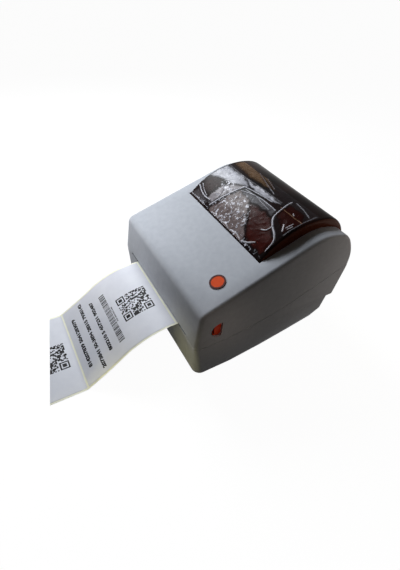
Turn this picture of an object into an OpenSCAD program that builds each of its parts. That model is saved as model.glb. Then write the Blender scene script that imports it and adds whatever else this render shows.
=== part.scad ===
// Desktop label printer with a hinged lid, smoked window, label roll and print mechanism.
// Millimetres. X is the width, Y runs from the paper slot to the back, Z is up from the table.

/* [Case] */
// Width of the case
case_w = 178; // [174:1:186]
// Rear face, measured from the paper slot
rear_y = 190; // [188:1:198]
// Wall of the case shells
wall = 2.5; // [2:0.1:2.8]
// Rounding of the case edges
edge_r = 4; // [3.2:0.1:5]
// Height of the most forward line of the front
fold_z = 48.6; // [48.6:0.1:49.2]
// How far the most forward line lies behind the slot plane
fold_y = 1; // [0.5:0.1:1.4]
// How far the foot of the front recedes
toe_y = 4.6; // [3.6:0.1:5.6]
// Height of the front edge of the top
front_top_z = 87; // [86:0.5:90]
// Setback of the front edge of the top
front_top_y = 5; // [4:0.5:6]
// Slope of the top in degrees
top_slope = 20.65; // [20:0.05:21.5]
// Rounding of the front edge of the top
front_round = 9; // [6:0.5:11]
// Distance of the rim's peak from the rear face
peak_back = 51; // [48:0.5:53]
// Distance of the rim's rear corner from the rear face
crown_back = 15; // [13:0.5:17]
// Height of the rim's rear corner
crown_z = 129.5; // [128.5:0.5:131]
// Height where the rear becomes upright
shoulder_z = 104; // [101:0.5:105]

/* [Lower case] */
// Clearance under the floor
foot_h = 1.5; // [1.2:0.1:2]
// Height of the step at the rear
step_z = 46; // [45:0.5:47]
// Depth of the step at the rear
step_in = 2.5; // [2:0.1:3]
// How much the rear face leans in down to the step
rear_lean = 7.5; // [6.5:0.5:8.5]
// How far below the seam the rear face starts to lean in
waist_drop = 5; // [4:0.5:8]
// How much the lower rear face leans in down to the floor
low_lean = 3; // [2:0.1:4]
// How much the lower sides draw in at the rear floor
side_tuck = 11; // [8:0.5:12]
// Where the lower sides start to draw in
tuck_start = 45; // [40:1:50]
// Height below which the lower sides draw in most
bilge_z = 24; // [22:0.5:26]
// Corner radius of the lower rear
rear_corner_r = 12; // [10:0.5:13]
// Corner radius of the lower front at the floor
toe_corner_r = 9; // [6:0.5:10]
// Rounding of the lower edge
toe_r = 2.4; // [1.5:0.1:3]
// Radius of a rubber foot
foot_r = 7; // [5:0.5:8]
// Height of the fan-fold slot
fold_slot_h = 6; // [5.2:0.1:7]
// Width of the fan-fold slot
fold_slot_w = 112; // [108:1:114]

/* [Seam] */
// Height of the seam at the front
seam_z = 43.5; // [43:0.1:44]
// Start of the seam's curve
seam_flat_y = 20; // [16:0.5:22]
// End of the seam's curve
seam_curve_end = 125; // [122:0.5:128]
// Radius of the seam's curve
seam_r = 294; // [285:1:305]
// Gap between the lid and the lower case
seam_gap = 0.4; // [0.3:0.05:0.5]
// Half width of the paper slot and the front panel
slot_half = 70; // [67.5:0.5:71]
// Height of the lid's edge above the slot
slot_top_z = 48.9; // [48.6:0.1:49.6]

/* [Window] */
// Half width of the window
window_half = 71.4; // [68:0.2:73]
// Front edge of the window
window_front = 75; // [72:0.5:77]
// Thickness of the window
window_t = 2.5; // [2:0.1:2.8]
// Radius of the front arc of the window
window_r1 = 85.8; // [85:0.2:88]
// Radius of the rear arc of the window
window_r2 = 38; // [37:0.5:39]
// Height of the window's rear edge
window_rear_z = 106.2; // [105.6:0.2:107]
// Distance of the window's rear edge from the rear face
window_back = 3; // [2.6:0.1:3.4]
// Depth of the window's edge in the lid
window_seat = 1.3; // [1.1:0.1:1.5]
// Thickness of the protective film
film_t = 0.3; // [0.2:0.05:0.4]
// Right edge of the protective film
film_right = 68; // [60:0.5:69]
// Arc of the window covered by the film in degrees
film_sweep = 52; // [40:1:54]

/* [Lid hinge] */
// Radius of the hinge knuckles
knuckle_r = 4; // [3.6:0.1:4.4]
// Radius of the hinge pins
pin_r = 1.5; // [1.2:0.1:1.8]
// Middle of each hinge
hinge_x = 62; // [58:0.5:64]
// Length of one knuckle
knuckle_l = 8; // [6:0.5:9]

/* [Feed button] */
// Distance from the right side
button_in = 25.4; // [25:0.2:29]
// Place along the top
button_y = 35; // [33:0.5:37]
// Radius of the button
button_r = 6.4; // [5.6:0.1:6.8]
// Width of the bezel's ring
bezel_w = 1.7; // [1.4:0.1:1.8]
// Travel of the button
button_travel = 1.2; // [0.8:0.1:1.4]

/* [Latch] */
// Height of the latch shaft
latch_z = 78; // [77:0.5:79]
// Place of the latch shaft
latch_y = 30; // [29:0.5:31]
// Radius of the latch shaft
latch_shaft_r = 2; // [1.6:0.1:2.4]
// Height of the finger hole
finger_z = 62; // [61:0.5:63]
// Place of the finger hole's round part
finger_y = 26; // [25.5:0.1:26.5]
// Radius of the finger hole
finger_r = 9; // [8.6:0.1:9.2]
// Straight rear edge of the finger hole
finger_back = 3; // [2.5:0.1:3.5]
// Rounding of the finger hole's lower rear corner
finger_round = 3; // [2.5:0.1:3.5]

/* [Labels] */
// Width of the liner strip
liner_w = 106; // [104:0.5:107]
// Width and length of one label
label_size = 102; // [98:0.5:103]
// Gap between labels
label_gap = 2; // [2:0.5:4]
// Thickness of the liner
liner_t = 0.2; // [0.15:0.01:0.22]
// Thickness of a label
label_t = 0.15; // [0.1:0.01:0.16]
// Cut end of the strip at its left edge, in front of the slot
cut_near = 103.6; // [101:0.2:106]
// Slant of the cut end in degrees
cut_slant = 11.9; // [10:0.1:12.5]
// Steepest fall of the strip in degrees
fall_angle = 40; // [39:0.5:41]
// Fall of the strip where it meets the table, in degrees
land_angle = 33; // [32:0.5:34]
// Radius of the strip's hollow bend above the table
sag_r = 350; // [340:5:355]

/* [Platen and gears] */
// Radius of the platen roller
platen_r = 8; // [7.8:0.05:8.1]
// Place of the platen behind the slot
platen_y = 16; // [15.5:0.1:16.5]
// Height of the platen's axis
platen_z = 38.7; // [38.6:0.05:38.9]
// Radius of the platen shaft
platen_shaft_r = 3; // [2.6:0.1:3.2]
// Gear module
gear_m = 1; // [0.97:0.01:1.02]
// Face width of a gear
gear_w = 3.2; // [2.6:0.1:3.4]
// Side of the square feed motor
motor_side = 26; // [24:0.5:26.5]
// Radius of the idler stud
stud_r = 2; // [1.6:0.1:2.2]

/* [Label roll] */
// Outer radius of the roll
roll_r = 48; // [45:0.5:48.5]
// Height of the roll's axis
roll_z = 74; // [73.5:0.1:75]
// Place of the roll's axis
roll_y = 126; // [125:0.2:127]
// Inner radius of the core
core_r = 12.7; // [12:0.1:13]
// Wall of the core
core_t = 2.5; // [2:0.1:3]

/* [Hidden] */
$fn = 64;
hull_fn = 32;
thin = 0.01;
// Clearances: running fits, loose fits, press fits and free gaps
run = 0.05;
loose = 0.2;
free = 0.4;
far = 400;

half_w = case_w / 2;
in_half = half_w - wall;
floor_top = foot_h + wall;

function unit(v) = v / norm(v);
function lerp(a, b, t) = a + (b - a) * t;
function polar(c, r, a) = c + r * [cos(a), sin(a)];
function bearing(v) = atan2(v[1], v[0]);
function top_z(y) = front_top_z + (y - front_top_y) * tan(top_slope);
// Points of a round corner at c between a and b
function fillet(a, c, b, r, n) =
    let (u = unit(a - c), v = unit(b - c), h = acos(u * v) / 2)
    let (m = c + unit(u + v) * r / sin(h))
    let (a0 = bearing(c + u * r / tan(h) - m), a1 = bearing(c + v * r / tan(h) - m))
    let (d = a1 - a0, sweep = d > 180 ? d - 360 : d < -180 ? d + 360 : d)
    [for (i = [0 : n]) polar(m, r, a0 + sweep * i / n)];
// Outline moved inwards by d
function inset(points, d) =
    let (n = len(points))
    [for (i = [0 : n - 1])
        let (p = points[i], e = unit(p - points[(i + n - 1) % n]), f = unit(points[(i + 1) % n] - p))
        let (u = [e[1], -e[0]], v = [f[1], -f[0]])
        p + d * (u + v) / (1 + u * v)];
function backwards(v) = [for (i = [len(v) - 1 : -1 : 0]) v[i]];
// Lower of the two points at ra from a and rb from b
function circles_meet(a, ra, b, rb) =
    let (d = norm(b - a), u = (b - a) / d)
    let (t = (ra * ra - rb * rb + d * d) / (2 * d), h = sqrt(ra * ra - t * t))
    let (p = a + u * t, q = h * [-u[1], u[0]])
    (p + q)[1] < (p - q)[1] ? p + q : p - q;

// Side profile of the case, as points in Y and Z
toe = [toe_y, foot_h];
fold = [fold_y, fold_z];
front_top = [front_top_y, front_top_z];
peak = [rear_y - peak_back, top_z(rear_y - peak_back)];
crown = [rear_y - crown_back, crown_z];
shoulder = [rear_y, shoulder_z];
peak_r = 60;
crown_r = 28;
shoulder_r = 46;
function seam_at(y) =
    y < seam_flat_y ? seam_z :
    y < seam_curve_end ? seam_z + seam_r - sqrt(pow(seam_r, 2) - pow(y - seam_flat_y, 2)) :
    seam_at(seam_curve_end - thin) + (y - seam_curve_end) * seam_slope;
seam_slope = tan(asin((seam_curve_end - seam_flat_y) / seam_r));
waist = [rear_y, seam_at(rear_y) - waist_drop];
step_y = rear_y - rear_lean;
case_points = concat(
    [toe, fold],
    fillet(fold, front_top, peak, front_round, 8),
    fillet(front_top, peak, crown, peak_r, 8),
    fillet(peak, crown, shoulder, crown_r, 8),
    fillet(crown, shoulder, waist, shoulder_r, 4),
    [waist, [step_y, step_z], [step_y, foot_h]]);
function front_at(z) = lerp(toe_y, fold_y, (z - foot_h) / (fold_z - foot_h));

// Hinge of the lid
hinge_y = rear_y + free;
hinge_z = seam_at(hinge_y) + seam_gap / 2;

// Window
window_start = [window_front, top_z(window_front)];
window_c2 = [rear_y - window_back - window_r2, window_rear_z];
window_c1 = circles_meet(window_c2, window_r1 - window_r2, window_start, window_r1);
window_a0 = bearing(window_start - window_c1);
window_join = bearing(window_c2 - window_c1);
function window_arc(grow, a0, a1, n) =
    [for (i = [0 : n]) polar(window_c1, window_r1 + grow, lerp(a0, a1, i / n))];
window_points = concat(
    window_arc(0, window_a0, window_join, 16),
    [for (i = [1 : 10]) polar(window_c2, window_r2, lerp(window_join, 0, i / 10))]);
film_gap = 0.1;
film_inset = 1.4;
film_start = window_a0 - 1.2;

// Latch
lever_in = 9;
lever_x0 = in_half - lever_in;
lever_t = 3;
tab_x1 = in_half - 0.5;
tab_reach = 3.7;
tab_lap = 1.5;
tab_front = finger_y - tab_reach;
lever_lean = 2.7;
lever_back = latch_y - lever_lean;
lever_low = seam_z - 4.5;
lever_half = 4;
lever_eye_r = 5;
lever_nose = 7;
hook_w = 6;
hook_step = 2;
return_gap = 0.4;
return_t = 1;
return_l = 6.9;
catch_r = 1.5;
catch_y = lever_back + 0.3 + catch_r;
catch_z = seam_z - 2.5;

// Platen, web and strip
web_gap = 0.3;
strip_t = liner_t + label_t;
web_r = platen_r + web_gap;
slot_z = platen_z + web_r;
head_z = slot_z + strip_t + web_gap;
roll_web_r = roll_r + web_gap + strip_t;
platen_c = [platen_y, platen_z];
roll_c = [roll_y, roll_z];
web_angle = asin((web_r + roll_web_r) / norm(roll_c - platen_c)) - bearing(roll_c - platen_c);
web_up = [sin(web_angle), cos(web_angle)];
web_start = roll_c - roll_web_r * web_up;
web_len = norm(platen_c + web_r * web_up - web_start);
land_r = 8;
drop_r = (slot_z - sag_r * (cos(land_angle) - cos(fall_angle)) - land_r * (1 - cos(land_angle)))
    / (1 - cos(fall_angle));
tail_len = 60;
function arc_len(r, a) = r * a * PI / 180;
// Runs of the strip: length, fall at its start and fall at its end
runs = [
    [web_len, -web_angle, -web_angle],
    [arc_len(web_r, web_angle), -web_angle, 0],
    [platen_y, 0, 0],
    [arc_len(drop_r, fall_angle), 0, fall_angle],
    [arc_len(sag_r, fall_angle - land_angle), fall_angle, land_angle],
    [arc_len(land_r, land_angle), land_angle, 0],
    [tail_len, 0, 0]];
function run_at(r, s) =
    let (turn = r[2] - r[1], a = r[1] + turn * s / r[0], k = r[0] * 180 / PI)
    turn == 0 ? -s * [cos(r[1]), sin(r[1])] : k / turn * [sin(r[1]) - sin(a), cos(a) - cos(r[1])];
function strip_at(s, i = 0, p = web_start) =
    s <= runs[i][0] || i == len(runs) - 1 ? p + run_at(runs[i], s) :
    strip_at(s - runs[i][0], i + 1, p + run_at(runs[i], runs[i][0]));
function strip_fall(s, i = 0) =
    s <= runs[i][0] || i == len(runs) - 1 ? lerp(runs[i][1], runs[i][2], min(1, s / runs[i][0])) :
    strip_fall(s - runs[i][0], i + 1);
function total(i) = i < 0 ? 0 : runs[i][0] + total(i - 1);
strip_len = total(len(runs) - 1);
gap_s = total(4);
strip_step = 1;
function strip_side(s0, s1, lift) =
    let (n = ceil((s1 - s0) / strip_step))
    [for (i = [0 : n]) let (s = lerp(s0, s1, i / n), a = strip_fall(s))
        strip_at(s) + lift * [-sin(a), cos(a)]];
cut_far = cut_near + liner_w * tan(cut_slant);

// Frame: the origin is under the middle of the whole object
frame_y = (hinge_y + knuckle_r - cut_far) / 2;

// Gear train on the left of the platen
platen_teeth = 20;
small_teeth = 14;
large_teeth = 20;
pinion_teeth = 10;
idler_dir = -50;
motor_dir = -25;
function pitch(n) = n * gear_m / 2;
idler_c = polar(platen_c, pitch(platen_teeth) + pitch(small_teeth), idler_dir);
motor_c = polar(idler_c, pitch(large_teeth) + pitch(pinion_teeth), motor_dir);
cheek_x = 62;
cheek_front = 12;
cheek_rear = 62;
cheek_rear_z = 36;
cheek_top_y = 30;
cheek_top = slot_z - 2;
cheek_nose = 8.5;
ear_y = 54;
ear_w = 9;
ear_l = 14;
ear_t = 3;
brace_l = 4;
brace_h = 7;
deck_front = platen_y + 11;
bush_r = 5;
bush_flange_r = 6.5;
motor_l = 20;
motor_boss_r = 6;
motor_shaft_r = 1.5;
sensor_y = 44;
sensor_w = 10;
sensor_l = 8;
cheek_t = 4;
gear_x = -(cheek_x + cheek_t + 2);
gear_x2 = gear_x - gear_w - free;
roller_half = liner_w / 2 + 2;

// Head and lid frame
head_y = 50;
head_pivot_z = head_z + 12.35;
head_shaft_r = 2;
strip_heater_t = 1;
carrier_half = roller_half + 1;
frame_t = 3;
frame_x = lever_x0 - frame_t - 1.5;
frame_front = 10;
frame_rear = head_y + 10;
bar_z = head_z + 22.35;
bar_l = 12;
bar_t = 4;
beam_l = 6;
beam_h = 8;
boss_w = 6;
boss_low = 5;
carrier_t = 5.35;
carrier_reach = 7;
carrier_eye = 4;
spring_x = 30;
spring_r = 4;
spring_t = 1;

// Button
button_x = half_w - button_in;
bezel_r = button_r + run + bezel_w;
sleeve_l = 10;
key_side = 6;
key_h = 2;
cap_drop = 4;
cap_rise = 0.6;
stem_r = 2;

// Roll holders
holder_x = liner_w / 2 + 0.5;
holder_t = 3.5;
pinion_r_teeth = 12;
rack_z = floor_top + 8;
rack_h = 3;
rack_w = 3.8;
tray_r = roll_r + 2.5;
tray_t = 2;
tray_half = liner_w / 2 - 2;
deck_drop = tray_r - roll_web_r;
arm_w = 16;
tray_leg = 8;
tray_leg_places = [84, 145];

// Boards and sockets
main_half = 43;
main_y = 66;
main_l = 42;
socket_half = 40;
socket_y = 143;
// Chips: place on the board, size and height
chips = [[-20, 6, 14, 14, 1.6], [8, 8, 10, 12, 2], [-34, 29, 24, 6, 6], [14, 29, 18, 6, 6]];
can_places = [26, 36];
can_y = 12;
can_r = 3;
can_h = 7;
board_z = floor_top + 4;
board_t = 1.6;
socket_z = board_z + board_t;
usb_x = 20;
usb_w = 12;
usb_h = 11;
usb_l = 17;
usb_wall = 1.65;
jack_x = -8;
jack_w = 10;
jack_h = 11;
jack_l = 14;
jack_r = 3.2;
rocker_x = -40;
rocker_z = floor_top + 18.5;
rocker_w = 13;
rocker_h = 19;
switch_l = 11;
switch_wall = 1.5;
rocker_tilt = 9;
rocker_body_w = rocker_w - 2 * switch_wall - 0.6;
rocker_pin_r = 1.2;
function low_rear(z) = step_y - step_in - low_lean * (1 - (z - foot_h) / (step_z - foot_h));
switch_y = low_rear(rocker_z - rocker_h / 2) - loose;
rocker_c = [switch_y - 2, rocker_z];

grey = [0.60, 0.61, 0.63];
orange = [0.85, 0.32, 0.14];
black = [0.09, 0.08, 0.08];
steel = [0.72, 0.73, 0.75];
cream = [0.90, 0.89, 0.84];
green = [0.10, 0.35, 0.20];

// Shared shapes

module place() { translate([0, -frame_y, 0]) children(); }
// Outline in Y and Z, drawn out from x0 to x1
module side(x0, x1) { translate([x0, 0, 0]) rotate([90, 0, 90]) linear_extrude(x1 - x0) children(); }
module across(half) { side(-half, half) children(); }
module both() { for (s = [0, 1]) mirror([s, 0, 0]) children(); }
// Round bar along X through the point c in Y and Z
module bar(c, r, x0, x1) { translate([x0, c[0], c[1]]) rotate([0, 90, 0]) cylinder(r = r, h = x1 - x0); }
module on_top(x, y) { translate([x, y, top_z(y)]) rotate([top_slope, 0, 0]) children(); }
// Outline drawn out across the width with rounded sides.
// A hollow corner, the last point but one, splits each end into two faces.
module rounded_across(points, half, r, hollow_corner = false) {
    n = len(points);
    turns = [0 : 30 : 90];
    right = [for (a = turns) [half - r + r * sin(a), r * (1 - cos(a))]];
    levels = concat([for (l = backwards(right)) [-l[0], l[1]]], right);
    last = len(levels) - 1;
    walls = [for (k = [0 : last - 1], i = [0 : n - 1]) let (j = (i + 1) % n)
        [k * n + i, k * n + j, (k + 1) * n + j, (k + 1) * n + i]];
    whole = [[for (i = [0 : n - 1]) i]];
    halves = [[for (i = [0 : n - 2]) i], [n - 2, n - 1, 0]];
    faces = hollow_corner ? halves : whole;
    ends = concat([for (f = faces) backwards(f)], [for (f = faces) [for (i = f) last * n + i]]);
    polyhedron([for (l = levels) for (p = inset(points, l[1])) [l[0], p[0], p[1]]], concat(ends, walls));
}
module case_solid() { rounded_across(case_points, half_w, edge_r, true); }
module case_hollow() { rounded_across(inset(case_points, wall), in_half, edge_r - wall + 0.5, true); }
module below_seam(lift) {
    steps = 16;
    curve = [for (i = [0 : steps]) lerp(seam_flat_y, seam_curve_end, i / steps)];
    line = concat([[-far, seam_at(0)]], [for (y = curve) [y, seam_at(y)]], [[far, seam_at(far)]]);
    across(far) translate([0, lift]) polygon(concat([[far, -far], [-far, -far]], line));
}
// How much the lower sides draw in at the rear, by height
function tuck_at(z) =
    z < bilge_z ? side_tuck * lerp(1, 0.2, (z - foot_h) / (bilge_z - foot_h)) :
    side_tuck * lerp(0.2, 0, min(1, (z - bilge_z) / (step_z - bilge_z)));
// Outline of the lower case at one height, as round posts down both sides
module low_posts(z, inset) {
    rear = low_rear(z) - rear_corner_r;
    for (s = [-1, 1], t = [-1, 0, 0.33, 0.66, 1]) {
        front_r = lerp(toe_corner_r, edge_r, min(1, (z - foot_h) / (step_z - foot_h)));
        r = t == 1 ? rear_corner_r : t < 0 ? front_r : edge_r;
        y = t < 0 ? front_at(z) + r : lerp(tuck_start, rear, t);
        x = half_w - r - tuck_at(z) * pow(max(0, t), 1.25);
        translate([s * x, y, z]) cylinder(r = r - inset, h = thin, $fn = hull_fn);
    }
}
module low_solid() {
    hull() {
        low_posts(foot_h, toe_r);
        low_posts(foot_h + 0.3 * toe_r, 0.4 * toe_r);
        low_posts(foot_h + toe_r, 0);
        low_posts(bilge_z, 0);
        low_posts(step_z - thin, 0);
    }
}
module low_hollow() {
    hull() {
        low_posts(floor_top, wall);
        low_posts(bilge_z, wall);
        low_posts(step_z + wall + thin, wall);
    }
}
module knuckles(x_list, r, l) {
    both() for (x = x_list) bar([hinge_y, hinge_z], r, hinge_x + x - l / 2, hinge_x + x + l / 2);
}
// Round-fronted finger hole with a pointed upper rear corner and a round lower one
module finger_outline(lap) {
    r = finger_r + lap;
    back = finger_back + lap;
    inner = back - finger_round;
    translate([finger_y, finger_z]) {
        hull() {
            intersection() {
                circle(r);
                translate([-r, -r]) square([r + inner, 2 * r]);
            }
            translate([inner, -sqrt(pow(r - finger_round, 2) - inner * inner)]) circle(finger_round);
            square([back, r / 2]);
        }
        square([back, r]);
    }
}
module gear_outline(n) {
    root = pitch(n) - 1.25 * gear_m;
    tip = pitch(n) + 0.8 * gear_m;
    half_root = 105 / n;
    half_tip = 38 / n;
    circle(root + 0.02);
    for (i = [0 : n - 1]) rotate(i * 360 / n)
        polygon([polar([0, 0], root, -half_root), polar([0, 0], tip, -half_tip),
            polar([0, 0], tip, half_tip), polar([0, 0], root, half_root)]);
}
module gear(c, n, turn, x1) {
    translate([0, c[0], c[1]]) side(x1 - gear_w, x1) rotate(turn) gear_outline(n);
}
module rack_outline(x0, x1) {
    p = PI * gear_m;
    translate([x0, 1.25 * gear_m]) square([x1 - x0, rack_w]);
    for (i = [ceil(x0 / p + 0.2) : floor(x1 / p - 0.8)]) translate([(i + 0.5) * p, 0])
        polygon([[-0.32 * p, 1.26 * gear_m], [-0.1 * p, -0.8 * gear_m], [0.1 * p, -0.8 * gear_m],
            [0.32 * p, 1.26 * gear_m]]);
}
foot_places = [[70, 24], [58, 142]];
screw_places = [
    [cheek_x + cheek_t + 5, ear_y],
    [tray_half - tray_leg / 2, tray_leg_places[1] + tray_leg / 2]];
standoffs = [[38, 70], [38, 104], [34, 146], [34, 160]];
screw_r = 1.5;
screw_top = floor_top + 8;

// Lower case and its fixed pieces

module lower_case() color(grey) place() {
    difference() {
        union() {
            difference() {
                union() {
                    low_solid();
                    difference() {
                        case_solid();
                        translate([-far, -far, step_z - 0.02 - 2 * far]) cube(2 * far);
                    }
                }
                low_hollow();
                difference() {
                    case_hollow();
                    translate([-far, -far, step_z + wall - 2 * far]) cube(2 * far);
                }
                difference() {
                    translate([-far, -far, -far]) cube(2 * far);
                    below_seam(0);
                }
            }
            knuckles([-knuckle_l, knuckle_l], knuckle_r, knuckle_l - seam_gap);
            both() bar([catch_y, catch_z], catch_r + 0.7, in_half - 2, in_half + 1);
            both() for (p = standoffs) translate([p[0], p[1], floor_top - 1]) cylinder(r = 2.5, h = 5);
            for (x = [-24, 24]) translate([x - 4, roll_y - 12, floor_top - 1]) cube([8, 24, 8.7]);
            translate([-5, roll_y - 5, floor_top - 1]) cube([10, 10, 8.7]);
            translate([0, roll_y, floor_top - 1]) cylinder(r = stud_r, h = 13);
        }
        knuckles([0], knuckle_r + free, knuckle_l + seam_gap);
        knuckles([0], pin_r, 4 * knuckle_l);
        both() bar([catch_y, catch_z], catch_r, in_half - 3, half_w - 1);
        translate([-slot_half - loose, -10, foot_h + wall + 3]) cube([2 * (slot_half + loose), 22, far]);
        translate([-fold_slot_w / 2, step_y - 8, step_z + 11]) cube([fold_slot_w, 30, fold_slot_h]);
        both() for (p = foot_places) translate([p[0], p[1], 0]) cylinder(r = foot_r + 0.1, h = foot_h + 0.5);
        both() for (p = screw_places) translate([p[0], p[1], 0]) {
            cylinder(r = screw_r + 1.7, h = foot_h + 1.5);
            cylinder(r = screw_r + 0.1, h = floor_top + 1);
        }
        translate([usb_x - usb_w / 2 - loose, low_rear(socket_z) - 9, socket_z - loose])
            cube([usb_w + 2 * loose, 20, usb_h + 2 * loose]);
        translate([jack_x - jack_w / 2 - loose, low_rear(socket_z) - 9, socket_z - loose])
            cube([jack_w + 2 * loose, 20, jack_h + 2 * loose]);
        translate([rocker_x - rocker_w / 2 - loose, low_rear(rocker_z) - 9, rocker_z - rocker_h / 2 - loose])
            cube([rocker_w + 2 * loose, 20, rocker_h + 2 * loose]);
    }
}

module front_panel() color(grey) place() {
    z0 = foot_h + wall + 3 + loose;
    z1 = slot_z - 0.6;
    shelf = 5;
    across(slot_half) polygon([[front_at(z0), z0], [front_at(z1), z1], [front_at(z1) + shelf, z1],
        [front_at(z1) + shelf, z1 - 2], [front_at(z1 - 2) + wall, z1 - 2], [front_at(z0) + wall, z0]]);
}

module rubber_feet() color(black) place() {
    both() for (p = foot_places) translate([p[0], p[1], 0]) cylinder(r = foot_r, h = foot_h + 0.5);
}

module case_screws() color(steel) place() {
    both() for (p = screw_places) translate([p[0], p[1], foot_h + 0.1]) {
        difference() {
            cylinder(r = screw_r + 1.5, h = 1.4);
            for (a = [0, 90]) rotate(a) translate([-2, -0.4, -1]) cube([4, 0.8, 1.8]);
        }
        cylinder(r = screw_r, h = screw_top - foot_h - 0.5);
    }
}

module hinge_pins() color(steel) place() knuckles([0], pin_r, 3 * knuckle_l - 1);

module catch_pins() color(steel) place() both() bar([catch_y, catch_z], catch_r, lever_x0 - 0.7, half_w - 1);

module tear_bar() color(steel) place() {
    half = liner_w / 2 + 4;
    teeth = 60;
    tooth = 2 * half / teeth;
    y0 = front_at(slot_z) + 0.8;
    translate([0, 0, slot_z - 0.6]) linear_extrude(0.4)
        polygon(concat([[half, y0 + 3], [-half, y0 + 3]],
            [for (i = [0 : 2 * teeth]) [-half + i * tooth / 2, y0 - (i % 2) * 0.7]]));
}

module chassis() color(black) place() difference() {
    union() {
        both() side(cheek_x, cheek_x + cheek_t)
            polygon([[cheek_front, floor_top], [cheek_rear, floor_top], [cheek_rear, cheek_rear_z],
                [cheek_top_y, cheek_top], [cheek_nose, cheek_top]]);
        both() translate([cheek_x + cheek_t - 1, ear_y - ear_l / 2, floor_top])
            cube([ear_w + 1, ear_l, ear_t]);
        translate([-cheek_x - 1, cheek_rear - brace_l, floor_top]) cube([2 * cheek_x + 2, brace_l, brace_h]);
        intersection() {
            translate([-cheek_x - 1, web_start[0], web_start[1]]) rotate([-web_angle, 0, 0])
                translate([0, -far, -deck_drop - tray_t]) cube([2 * cheek_x + 2, 2 * far, tray_t]);
            translate([-far, deck_front, 0]) cube([2 * far, cheek_rear - deck_front, far]);
        }
    }
    both() bar(platen_c, bush_r, cheek_x - 1, cheek_x + cheek_t + 1);
    bar(motor_c, motor_boss_r + 0.1, -cheek_x - cheek_t - 1, -cheek_x + 1);
    bar(idler_c, stud_r, -cheek_x - cheek_t - 1, -cheek_x + 1);
    both() translate([screw_places[0][0], screw_places[0][1], 0]) cylinder(r = screw_r, h = 20);
    translate([-sensor_w / 2 - loose, sensor_y - loose, 0])
        cube([sensor_w + 2 * loose, sensor_l + 2 * loose, far]);
}

module platen_bushes() color("goldenrod") place() both() difference() {
    union() {
        bar(platen_c, bush_r, cheek_x, cheek_x + cheek_t);
        bar(platen_c, bush_flange_r, cheek_x - 1, cheek_x);
    }
    bar(platen_c, platen_shaft_r + run, cheek_x - 2, cheek_x + cheek_t + 1);
}

module feed_motor() color(steel) place() difference() {
    union() {
        translate([-cheek_x, motor_c[0] - motor_side / 2, motor_c[1] - motor_side / 2])
            cube([motor_l, motor_side, motor_side]);
        bar(motor_c, motor_boss_r, -cheek_x - cheek_t, -cheek_x + 1);
    }
    bar(motor_c, motor_shaft_r + run, -cheek_x - cheek_t - 1, -cheek_x + motor_l - 8);
}

module idler_stud() color(steel) place() bar(idler_c, stud_r, gear_x2 - gear_w - 1, -cheek_x);

module gap_sensor() color(black) place() {
    top = web_start[1] + (web_start[0] - sensor_y - sensor_l) * tan(web_angle) - deck_drop / cos(web_angle);
    translate([-sensor_w / 2, sensor_y, top - sensor_l]) cube([sensor_w, sensor_l, sensor_l]);
}

module media_tray() color([0.2, 0.2, 0.21]) place() {
    rear_angle = -62;
    difference() {
        union() {
            across(tray_half) difference() {
                union() {
                    intersection() {
                        translate(roll_c) difference() {
                            circle(tray_r + tray_t);
                            circle(tray_r);
                        }
                        translate(roll_c) polygon([[0, 0], polar([0, 0], far, -90.2 - web_angle),
                            polar([0, 0], far, rear_angle - 14), polar([0, 0], far, rear_angle)]);
                    }
                    translate(roll_c) rotate(-web_angle) translate([-far, -tray_r - tray_t])
                        square([far, tray_t]);
                }
                translate([-far, 0]) square([far + cheek_rear + free, far]);
            }
            both() for (y = tray_leg_places) translate([tray_half - tray_leg, y, floor_top])
                cube([tray_leg, tray_leg, tray_top(y + (y < roll_y ? tray_leg : 0)) - floor_top]);
        }
        both() translate([screw_places[1][0], screw_places[1][1], 0])
            cylinder(r = screw_r, h = screw_top + 1);
    }
}
// Height halfway through the tray's thickness
function tray_top(y) =
    y < roll_y ? roll_z + (roll_y - y) * tan(web_angle) - (tray_r + tray_t / 2) / cos(web_angle) :
    roll_z - sqrt(pow(tray_r + tray_t / 2, 2) - pow(y - roll_y, 2));

module board(w, y0, y1) { translate([-w, y0, board_z]) cube([2 * w, y1 - y0, board_t]); }

module main_board() color(green) place() {
    board(main_half, main_y, main_y + main_l);
    for (p = chips)
        translate([p[0], main_y + p[1], board_z + board_t - 0.5]) cube([p[2], p[3], p[4] + 0.5]);
    for (x = can_places) translate([x, main_y + can_y, board_z + board_t - 0.5])
        cylinder(r = can_r, h = can_h + 0.5);
}

module socket_board() color(green) place() board(socket_half, socket_y, low_rear(board_z) - wall - 1);

module usb_socket() color(steel) place() difference() {
    y1 = low_rear(socket_z) + 0.4;
    translate([usb_x - usb_w / 2, y1 - usb_l, socket_z]) cube([usb_w, usb_l, usb_h]);
    translate([usb_x - usb_w / 2 + usb_wall, y1 - 10, socket_z + usb_wall])
        cube([usb_w - 2 * usb_wall, 11, usb_h - 2 * usb_wall]);
}

module power_jack() color(black) place() difference() {
    y1 = low_rear(socket_z) + 0.4;
    translate([jack_x - jack_w / 2, y1 - jack_l, socket_z]) cube([jack_w, jack_l, jack_h]);
    translate([jack_x, y1 + 1, socket_z + jack_h / 2]) rotate([90, 0, 0]) cylinder(r = jack_r, h = 10);
}

module switch_body() color(black) place() {
    difference() {
        translate([rocker_x - rocker_w / 2, switch_y - switch_l, rocker_z - rocker_h / 2])
            cube([rocker_w, switch_l, rocker_h]);
        translate([rocker_x - rocker_w / 2 + switch_wall, switch_y - switch_l + 2,
                rocker_z - rocker_h / 2 + switch_wall])
            cube([rocker_w - 2 * switch_wall, switch_l, rocker_h - 2 * switch_wall]);
        reach = rocker_body_w / 2 + 1.1;
        bar(rocker_c, rocker_pin_r + run, rocker_x - reach, rocker_x + reach);
    }
}

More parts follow.
